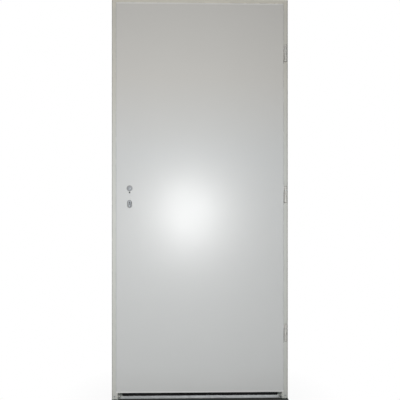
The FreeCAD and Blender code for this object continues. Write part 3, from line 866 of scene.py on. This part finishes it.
@dataclass
class DoorFrame(Assembly):
    """The folded corner frame with its seals, feet, rail, keeper box and wall anchors."""

    sheet_edge: float = 0.35
    weld_leg: float = 2.2
    weld_share: Pair = (0.15, 0.8)
    mitre_leg: float = 1.4
    mitre_start: float = 423.5
    mitre_inset: float = 3.0
    tack_inset: float = 20.0
    tack_half: float = 6.0
    foot_screw_rim: tuple[Pair, ...] = ((3.3, -1.5), (3.3, -0.3), (3.0, 0.0))
    foot_screw_across: float = 437.5
    foot_screw_height: float = 15.0
    foot_screw_sink: float = 0.6

    @property
    def anchors(self) -> list[str]:
        """Names of the six wall anchors."""
        return [f"{side}_anchor_{level}" for side in ("lock", "hinge") for level in LEVELS]

    def dress(self) -> None:
        """Give every frame node its finish."""
        sheets = ("lock_jamb", "hinge_jamb", "frame_head", "lock_stop", "hinge_stop", "head_stop")
        self.coat(sheets, self.shelf.frame_coat, self.sheet_edge)
        self.coat(("lock_jamb_seal", "hinge_jamb_seal", "head_seal"), self.shelf.rubber, 0.5)
        self.coat(("keeper_box", "lock_jamb_foot", "hinge_jamb_foot"), self.shelf.galvanised, 0.4)
        self.coat(("floor_rail",), self.shelf.rail, 0.4)
        self.coat(self.anchors, self.shelf.galvanised, 0.5)

    def anchor_welds(self) -> None:
        """Run a short weld along the top and the bottom of each anchor lug."""
        runs = []
        for anchor in self.anchors:
            low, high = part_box(anchor)
            root, tip = (low.x, high.x) if low.x > 0 else (high.x, low.x)
            for height, up in ((low.z, -1), (high.z, 1)):
                start, end = (Vector((root + share * (tip - root), low.y, height))
                              for share in self.weld_share)
                runs.append(weld_run(start, end, Vector((0, 0.4, up)), self.weld_leg))
        self.piece("anchor_welds", runs, Body.FRAME, Slot.GALVANISED, self.shelf.cast)

    def foot_screws(self) -> None:
        """Sink a socket head screw into the hole at the foot of each jamb."""
        heads = []
        for side, sign in (("lock", -1), ("hinge", 1)):
            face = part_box(f"{side}_jamb_foot")[0].y / MM + self.foot_screw_sink
            head = recessed_head(self.foot_screw_rim, hex_outline(3.0), 1.2)
            spot = Vector((sign * self.foot_screw_across, face, self.foot_screw_height)) * MM
            heads.append(moved(head, spot, FRONT))
        self.piece("foot_screws", heads, Body.FRAME, Slot.BRIGHT, self.shelf.bright)

    def keeper_tacks(self) -> None:
        """Tack the keeper box to the back of the jamb."""
        low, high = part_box("keeper_box")
        inset, half = self.tack_inset * MM, self.tack_half * MM
        runs = []
        for height in (low.z + inset, (low.z + high.z) / 2, high.z - inset):
            for depth, out in ((low.y, -1), (high.y, 1)):
                start = Vector((high.x, depth, height - half))
                end = Vector((high.x, depth, height + half))
                runs.append(weld_run(start, end, Vector((-1, out, 0)), self.weld_leg))
        self.piece("keeper_tacks", runs, Body.FRAME, Slot.GALVANISED, self.shelf.cast)

    def corner_welds(self) -> None:
        """Weld the mitres of the head and the jambs on their hidden side."""
        low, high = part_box("frame_head")
        inset = self.mitre_inset * MM
        runs = []
        for sign in (-1, 1):
            start = Vector((sign * self.mitre_start * MM, 0.0, low.z + inset))
            end = Vector((sign * (high.x - inset), 0.0, high.z - inset))
            runs.append(weld_run(start, end, Vector((0, 1, 0)), self.mitre_leg))
        self.piece("corner_welds", runs, Body.FRAME, Slot.COAT, self.shelf.frame_coat)

    def build(self) -> None:
        """Dress the frame and add its small parts."""
        self.dress()
        self.anchor_welds()
        self.foot_screws()
        self.keeper_tacks()
        self.corner_welds()


@dataclass
class DoorLeaf(Assembly):
    """The hung leaf: two skins on folded edge channels round a wool core."""

    sheet_edge: float = 0.3
    end_width: float = 12.0
    end_clear: float = 0.6
    end_joint: float = 0.1

    def dress(self) -> None:
        """Give every leaf node its finish."""
        sheets = ("front_sheet", "back_sheet", "lock_edge", "hinge_edge", "top_edge", "bottom_channel")
        self.coat(sheets, self.shelf.leaf_coat, self.sheet_edge)
        self.coat(("leaf_core",), self.shelf.wool)
        self.coat(("bottom_seal",), self.shelf.rubber, 0.6)

    def seal_ends(self) -> None:
        """Fit a grey rubber block at each end of the seal under the leaf."""
        low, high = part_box("bottom_seal")
        height = (high.z - low.z) / MM - self.end_clear
        length = (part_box("back_sheet")[1].x - high.x) / MM - self.end_clear - self.end_joint
        middle = (low + high) / 2
        blocks = []
        for side in (-1, 1):
            spot = Vector((side * (high.x + self.end_joint * MM), middle.y, middle.z))
            block = drawn_bar(rectangle(height, self.end_width), length)
            blocks.append(moved(block, spot, Vector((side, 0, 0))))
        self.piece("bottom_seal_ends", blocks, Body.LEAF, Slot.RUBBER, self.shelf.end_rubber, 0.8)

    def build(self) -> None:
        """Dress the leaf and close the ends of its bottom seal."""
        self.dress()
        self.seal_ends()


@dataclass
class LockSet(Assembly):
    """The mortise lock with its faceplate, bolts, follower and keyhole insert."""

    screw_inset: float = 12.0
    screw_head: float = 4.2
    screw_arm: float = 2.4
    plug_square: float = 8.8
    plug_length: float = 6.0
    plug_lip: tuple[Pair, ...] = ((0.0, 0.0), (6.0, 0.0), (6.0, 0.6), (5.5, 1.1), (0.0, 1.1))
    screw_plug: tuple[Pair, ...] = ((0.0, 0.0), (3.3, 0.0), (3.9, 0.6), (3.9, 3.4), (3.3, 4.0), (0.0, 4.0))
    handle_screw_down: float = 21.5

    def dress(self) -> None:
        """Give every lock node its finish."""
        self.coat(("lock_faceplate",), self.shelf.bright, 0.3)
        self.coat(("latch_bolt",), self.shelf.bright, 0.8)
        self.coat(("dead_bolt",), self.shelf.bright, 0.5)
        self.coat(("spindle_follower",), self.shelf.dull, 0.4)
        self.coat(("lock_case",), self.shelf.case_lacquer, 0.5)
        self.coat(("key_insert",), self.shelf.insert, 0.4)

    def faceplate_screws(self) -> None:
        """Set a countersunk screw near each end of the faceplate."""
        low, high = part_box("lock_faceplate")
        heads = []
        for height in (low.z + self.screw_inset * MM, high.z - self.screw_inset * MM):
            spot = Vector((low.x, (low.y + high.y) / 2, height))
            head = countersunk_head(self.screw_head, self.screw_arm)
            heads.append(moved(head, spot, Vector((-1, 0, 0))))
        self.piece("faceplate_screws", heads, Body.LEAF, Slot.BRIGHT, self.shelf.bright)

    def dust_plugs(self) -> None:
        """Press a dust plug into the square hole and the screw hole until a handle is fitted."""
        low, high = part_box("spindle_follower")
        middle = (low + high) / 2
        back = Vector((middle.x, high.y, middle.z))
        square = drawn_bar(rectangle(self.plug_square, self.plug_square), self.plug_length)
        plug = (moved(square, back, FRONT), moved(turned(self.plug_lip), back, -FRONT))
        hole = middle - Vector((0, 0, self.handle_screw_down * MM))
        screw = moved(turned(self.screw_plug), hole, FRONT)
        self.piece("spindle_dust_plug", plug, Body.LEAF, Slot.INSERT, self.shelf.plug, 0.3)
        self.piece("screw_dust_plug", (screw,), Body.LEAF, Slot.RUBBER, self.shelf.rubber, 0.2)

    def build(self) -> None:
        """Dress the lock and add its screws and dust plugs."""
        self.dress()
        self.faceplate_screws()
        self.dust_plugs()


@dataclass
class HingeSet(Assembly):
    """Three lift-off hinges: lower barrel on the frame, upper barrel on the leaf."""

    weld_leg: float = 1.5
    weld_inset: float = 3.0
    weld_clear: float = 1.0
    screw_heights: Pair = (12.0, 36.0)
    screw_depth: float = 12.0
    screw_head: float = 4.0
    screw_arm: float = 2.2

    def dress(self) -> None:
        """Give every hinge node its finish."""
        halves = [f"{level}_hinge_{half}" for level in LEVELS for half in ("frame", "leaf")]
        self.coat(halves, self.shelf.hinge_coat, 0.4)
        self.coat([f"{level}_hinge_pin" for level in LEVELS], self.shelf.shaded_cap_coat, 0.3)
        self.coat([f"{level}_hinge_washer" for level in LEVELS], self.shelf.bright, 0.2)

    def plate_welds(self) -> None:
        """Weld each frame plate to the face of the jamb along its lower end."""
        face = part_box("hinge_jamb")[0].y
        runs = []
        for level in LEVELS:
            low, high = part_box(f"{level}_hinge_frame")
            start = Vector((low.x + self.weld_inset * MM, face, low.z))
            end = Vector((high.x - self.weld_clear * MM, face, low.z))
            runs.append(weld_run(start, end, Vector((0, -1, -1)), self.weld_leg))
        self.piece("hinge_plate_welds", runs, Body.FRAME, Slot.COAT, self.shelf.frame_coat)

    def plate_screws(self) -> None:
        """Fix each leaf plate in the leaf's edge with two countersunk screws."""
        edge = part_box("hinge_edge")[1].x
        heads = []
        for level in LEVELS:
            low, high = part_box(f"{level}_hinge_leaf")
            for up in self.screw_heights:
                spot = Vector((edge, high.y - self.screw_depth * MM, low.z + up * MM))
                head = countersunk_head(self.screw_head, self.screw_arm)
                heads.append(moved(head, spot, Vector((1, 0, 0))))
        self.piece("hinge_plate_screws", heads, Body.LEAF, Slot.BRIGHT, self.shelf.bright)

    def build(self) -> None:
        """Dress the hinges and add their welds and screws."""
        self.dress()
        self.plate_welds()
        self.plate_screws()


@dataclass(frozen=True)
class Lamp:
    """One soft lamp: place and aim in metres, width and height, power in watts and colour."""

    name: str
    spot: Point
    aim: Point
    size: Pair
    power: float
    tint: str = "#FFFFFF"

    def hang(self) -> None:
        """Hang the lamp in the scene."""
        data = bpy.data.lights.new(self.name, "AREA")
        data.shape = "ELLIPSE"
        data.size, data.size_y = self.size
        data.energy = self.power
        data.color = linear(self.tint)[:3]
        turn = (Vector(self.aim) - Vector(self.spot)).to_track_quat("-Z", "Y").to_euler()
        set_out(self.name, data, self.spot).rotation_euler = turn


@dataclass
class Studio:
    """Pale floor, plain light and the camera at the photographer's place, in metres."""

    camera_spot: Point = (-0.0489, -2.600, 0.9474)
    yaw: float = 0.0225
    sensor_mm: float = 36.0
    focal_px: float = 506.2
    frame_px: float = 400.0
    shift_px: Pair = (-2.01, 14.3)
    lamps: tuple[Lamp, ...] = (
        Lamp("front_lamp", (-0.055, -2.45, 0.955), (-0.72, 0.0, 1.4), (0.19, 0.45), 44.5),
        Lamp("top_light", (0.0, 0.02, 3.1), (0.0, -0.01, 1.9), (1.2, 0.3), 8.0, "#FFF3DE"),
        Lamp("back_light", (0.5, 2.6, 1.9), (0.0, 0.0, 1.0), (2.2, 1.8), 42.0),
        Lamp("side_light_left", (-2.4, 0.7, 1.3), (-0.4, 0.1, 1.0), (1.0, 1.8), 10.0),
        Lamp("side_light_right", (2.4, 0.7, 1.3), (0.4, 0.1, 1.0), (1.0, 1.8), 10.0))
    sky: float = 0.04
    floor_tint: str = "#C0C0BE"
    floor_shade: str = "#B8B8B6"
    floor_half: float = 20.0
    floor_drop: float = 0.0004
    glow_near: float = 0.9
    glow_reach: Pair = (0.3, 0.75)
    # where the shade under the door begins and where it is whole: from the sides, the front and the back
    contact_side: Pair = (0.4545, 0.4495)
    contact_front: Pair = (-0.055, -0.021)
    contact_back: Pair = (0.062, 0.028)
    contact_tint: str = "#2A2A28"

    def camera(self) -> None:
        """Set up the camera from its fitted place, turn and focal length."""
        data = bpy.data.cameras.new("photo_camera")
        data.sensor_width = self.sensor_mm
        data.lens = self.sensor_mm * self.focal_px / self.frame_px
        data.shift_x, data.shift_y = (shift / self.frame_px for shift in self.shift_px)
        data.clip_start, data.clip_end = 0.05, 100.0
        camera = set_out("photo_camera", data, self.camera_spot)
        camera.rotation_euler = (math.pi / 2, 0.0, -self.yaw)
        bpy.context.scene.camera = camera

    def seen(self, tree: Tree) -> Socket:
        """Tell the rays that come from the camera, from shine or through glass from the rest.

        Args:
            tree: the node tree of the world or of the floor.

        Returns:
            One for those rays and zero for the light that falls on the door.
        """
        path = add_node(tree, "LightPath").outputs
        shine = add_node(tree, "Math", {"operation": "MAXIMUM"},
                         {0: path["Is Glossy Ray"], 1: path["Is Transmission Ray"]})
        return add_node(tree, "Math", {"operation": "MAXIMUM"},
                        {0: path["Is Camera Ray"], 1: shine.outputs[0]}).outputs[0]

    def background(self) -> bpy.types.World:
        """Build a world that looks white and lights the door softly.

        Returns:
            The world.
        """
        world = bpy.data.worlds.new("studio_air")
        world.use_nodes = True
        tree = world.node_tree
        tree.nodes.clear()
        soft = add_node(tree, "Background", {(0,): linear("#F4F6F8"), (1,): self.sky})
        white = add_node(tree, "Background", {(0,): linear("#FFFFFF"), (1,): 1.0})
        mix = add_node(tree, "MixShader", None,
                       {0: self.seen(tree), 1: soft.outputs[0], 2: white.outputs[0]})
        add_node(tree, "OutputWorld", None, {0: mix.outputs[0]})
        return world

    def contact_shade(self, canvas: Canvas) -> Socket:
        """Shade the strip of floor that the door stands on, where no light reaches the joint.

        Args:
            canvas: the floor's material.

        Returns:
            How dark the floor is there, zero to one.
        """
        borders = ((canvas.away("X", 0.0), self.contact_side), (canvas.axes["Y"], self.contact_front),
                   (canvas.axes["Y"], self.contact_back))
        shades = []
        for source, (none, full) in borders:
            edge = {"interpolation_type": "SMOOTHSTEP", ("From Min",): none, ("From Max",): full}
            shades.append(canvas.add("MapRange", edge, {"Value": source}).outputs["Result"])
        return canvas.product(*shades)

    def floor_paint(self) -> Material:
        """Build the pale floor, which fades to plain white away from the door.

        Returns:
            The floor's material.
        """
        canvas = Canvas("pale_studio_floor", self.floor_tint)
        canvas.shader.inputs["Roughness"].default_value = 0.9
        grain = canvas.add("TexNoise", {("Scale",): 3.0, ("Detail",): 5.0}, canvas.place)
        tone = canvas.tinted(grain.outputs["Fac"], self.floor_tint, self.floor_shade)
        away = canvas.add("VectorMath", {"operation": "LENGTH"}, {0: canvas.spot})
        start, end = self.glow_reach
        reach = {("From Min",): start, ("From Max",): end, ("To Min",): self.glow_near}
        fade = canvas.add("MapRange", reach, {"Value": away.outputs["Value"]})
        contact = self.contact_shade(canvas)
        wire(canvas.shader, {"Base Color": canvas.covered(contact, tone, self.contact_tint)})
        glow = canvas.add("Emission", {(1,): 1.0}, {0: canvas.tinted(contact, "#FFFFFF", self.contact_tint)})
        share = canvas.product(self.seen(canvas.tree), fade.outputs["Result"])
        mix = canvas.add("MixShader", None, {0: share, 1: canvas.shader.outputs[0], 2: glow.outputs[0]})
        wire(canvas.tree.nodes["Material Output"], {"Surface": mix.outputs[0]})
        return canvas.material

    def floor(self) -> None:
        """Lay the floor."""
        mesh = bmesh.new()
        bmesh.ops.create_grid(mesh, x_segments=2, y_segments=2, size=self.floor_half)
        data = bpy.data.meshes.new("studio_floor")
        mesh.to_mesh(data)
        mesh.free()
        data.materials.append(self.floor_paint())
        set_out("studio_floor", data, (0, 0, -self.floor_drop))

    def build(self) -> None:
        """Set up the floor, the light, the background and the camera."""
        self.floor()
        for lamp in self.lamps:
            lamp.hang()
        self.camera()
        scene = bpy.context.scene
        scene.world = self.background()
        scene.view_settings.view_transform = "Standard"


def main() -> None:
    """Dress the door, piece by piece, and set up the studio."""
    logging.basicConfig(level=logging.INFO, format="%(name)s: %(message)s")
    shelf = FinishShelf()
    for assembly in (DoorFrame(shelf), DoorLeaf(shelf), LockSet(shelf), HingeSet(shelf)):
        assembly.build()
        LOG.info("%s is dressed and has %d added pieces", type(assembly).__name__, assembly.added)
    Studio().build()


if __name__ == "__main__":
    main()
